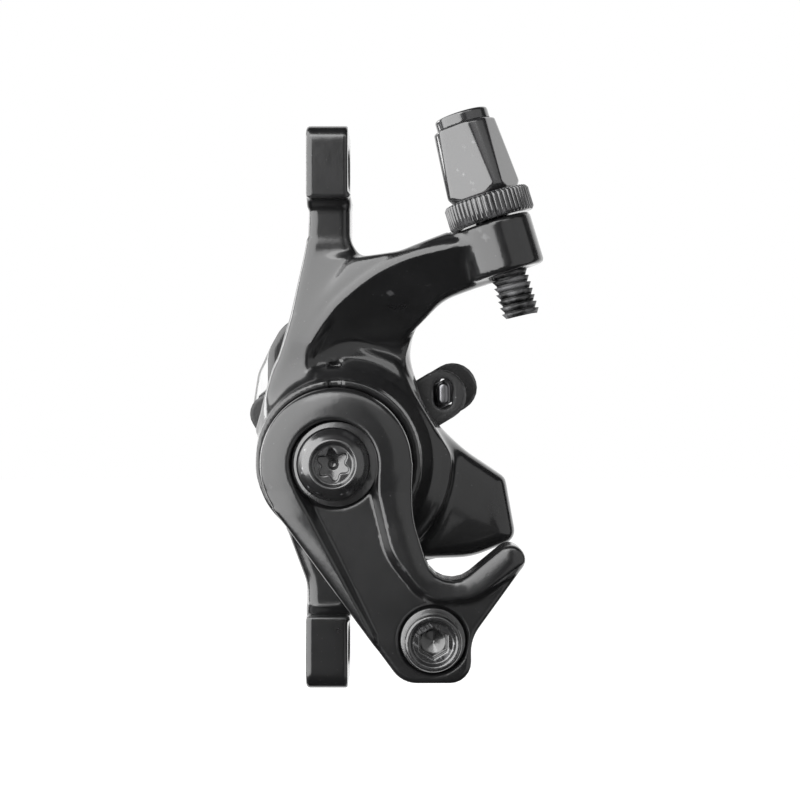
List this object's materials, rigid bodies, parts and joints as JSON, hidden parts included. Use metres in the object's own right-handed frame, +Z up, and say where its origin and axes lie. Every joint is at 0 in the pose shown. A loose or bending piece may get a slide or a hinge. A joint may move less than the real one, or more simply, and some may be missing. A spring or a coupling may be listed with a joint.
{
  "type": "mechanical disc brake caliper",
  "caption": "Cable-pulled disc brake caliper for a post mount, with a ball-ramp actuator arm, sliding pads and a barrel adjuster.",
  "frame": {"origin": "midway between the two ear slots, on the face that meets the fork posts", "axes": "+X away from the posts, +Y inboard from the actuator arm, +Z up along the line of the slots"},
  "size_m": [0.046, 0.0465, 0.0863],
  "materials": {
    "cast_paint": "glossy black paint on a cast surface",
    "arm_paint": "glossy black paint on a forged surface",
    "black_steel": "black oxide, satin",
    "black_alloy": "black anodised, glossy",
    "plate_steel": "dark coated steel, matte",
    "friction": "rough resin compound",
    "bearing_steel": "hardened and polished",
    "inner_steel": "turned",
    "bush_plastic": "unfilled bearing plastic",
    "seal_rubber": "matte",
    "spring_steel": "drawn wire and strip",
    "knob_plastic": "moulded"
  },
  "bodies": {
    "caliper": {"caliper_body": "cast_paint", "spindle_bush": "bush_plastic", "thrust_washer": "inner_steel", "dust_seal": "seal_rubber", "guide_pin": "inner_steel", "pad_spring": "spring_steel", "return_spring": "spring_steel"},
    "arm": {"actuator_arm": "arm_paint", "ramp_spindle": "inner_steel", "arm_bolt": "black_steel", "arm_washer": "black_steel", "cable_clamp_plate": "black_steel", "cable_anchor_bolt": "black_steel"},
    "cage": {"ball_cage": "inner_steel"},
    "balls": {"ramp_balls": "bearing_steel"},
    "near_pad": {"piston": "inner_steel", "near_pad_plate": "plate_steel", "near_friction_block": "friction"},
    "far_pad": {"pad_plunger": "inner_steel", "far_pad_plate": "plate_steel", "far_friction_block": "friction"},
    "knob": {"adjuster_knob": "knob_plastic", "knob_retainer": "spring_steel"},
    "seat": {"housing_seat": "black_alloy"},
    "barrel": {"barrel_adjuster": "black_alloy"},
    "lock": {"lock_ring": "black_alloy"}
  },
  "joints": [
    {"name": "arm_pivot", "type": "hinge", "parent": "caliper", "child": "arm", "pos_m": [0.0048, 0, -0.0083], "axis": [0, -1, 0], "range_deg": [0, 40], "stiffness_Nm_per_rad": 0.4, "springref_deg": -20.05, "deforming": ["return_spring"]},
    {"name": "cage_turn", "type": "hinge", "parent": "caliper", "child": "cage", "pos_m": [0.0048, 0, -0.0083], "axis": [0, -1, 0], "range_deg": [0, 20]},
    {"name": "ball_slide", "type": "slide", "parent": "cage", "child": "balls", "axis": [0, 1, 0], "range_m": [0, 0.0009]},
    {"name": "piston_slide", "type": "slide", "parent": "caliper", "child": "near_pad", "axis": [0, 1, 0], "range_m": [0, 0.0018], "deforming": ["pad_spring"]},
    {"name": "knob_turn", "type": "hinge", "parent": "caliper", "child": "knob", "pos_m": [0.0048, 0, -0.0083], "axis": [0, 1, 0], "range_deg": [0, 720]},
    {"name": "plunger_slide", "type": "slide", "parent": "caliper", "child": "far_pad", "axis": [0, -1, 0], "range_m": [0, 0.002], "deforming": ["pad_spring"]},
    {"name": "barrel_lift", "type": "slide", "parent": "caliper", "child": "seat", "axis": [-0.2907, 0, 0.9568], "range_m": [0, 0.005]},
    {"name": "barrel_turn", "type": "hinge", "parent": "seat", "child": "barrel", "pos_m": [0.028, -0.0125, 0.0274], "axis": [-0.2907, 0, 0.9568], "range_deg": [-1800, 0]},
    {"name": "lock_ring_turn", "type": "hinge", "parent": "caliper", "child": "lock", "pos_m": [0.028, -0.0125, 0.0274], "axis": [-0.2907, 0, 0.9568], "continuous": true}
  ],
  "couplings": [
    {"joint": "cage_turn", "follows": "arm_pivot", "ratio": 0.5},
    {"joint": "ball_slide", "follows": "arm_pivot", "m_per_rad": 0.001289},
    {"joint": "piston_slide", "follows": "arm_pivot", "m_per_rad": 0.0025781},
    {"joint": "knob_turn", "follows": "plunger_slide", "rad_per_m": 6282.6},
    {"joint": "barrel_turn", "follows": "barrel_lift", "rad_per_m": -6282.6}
  ]
}
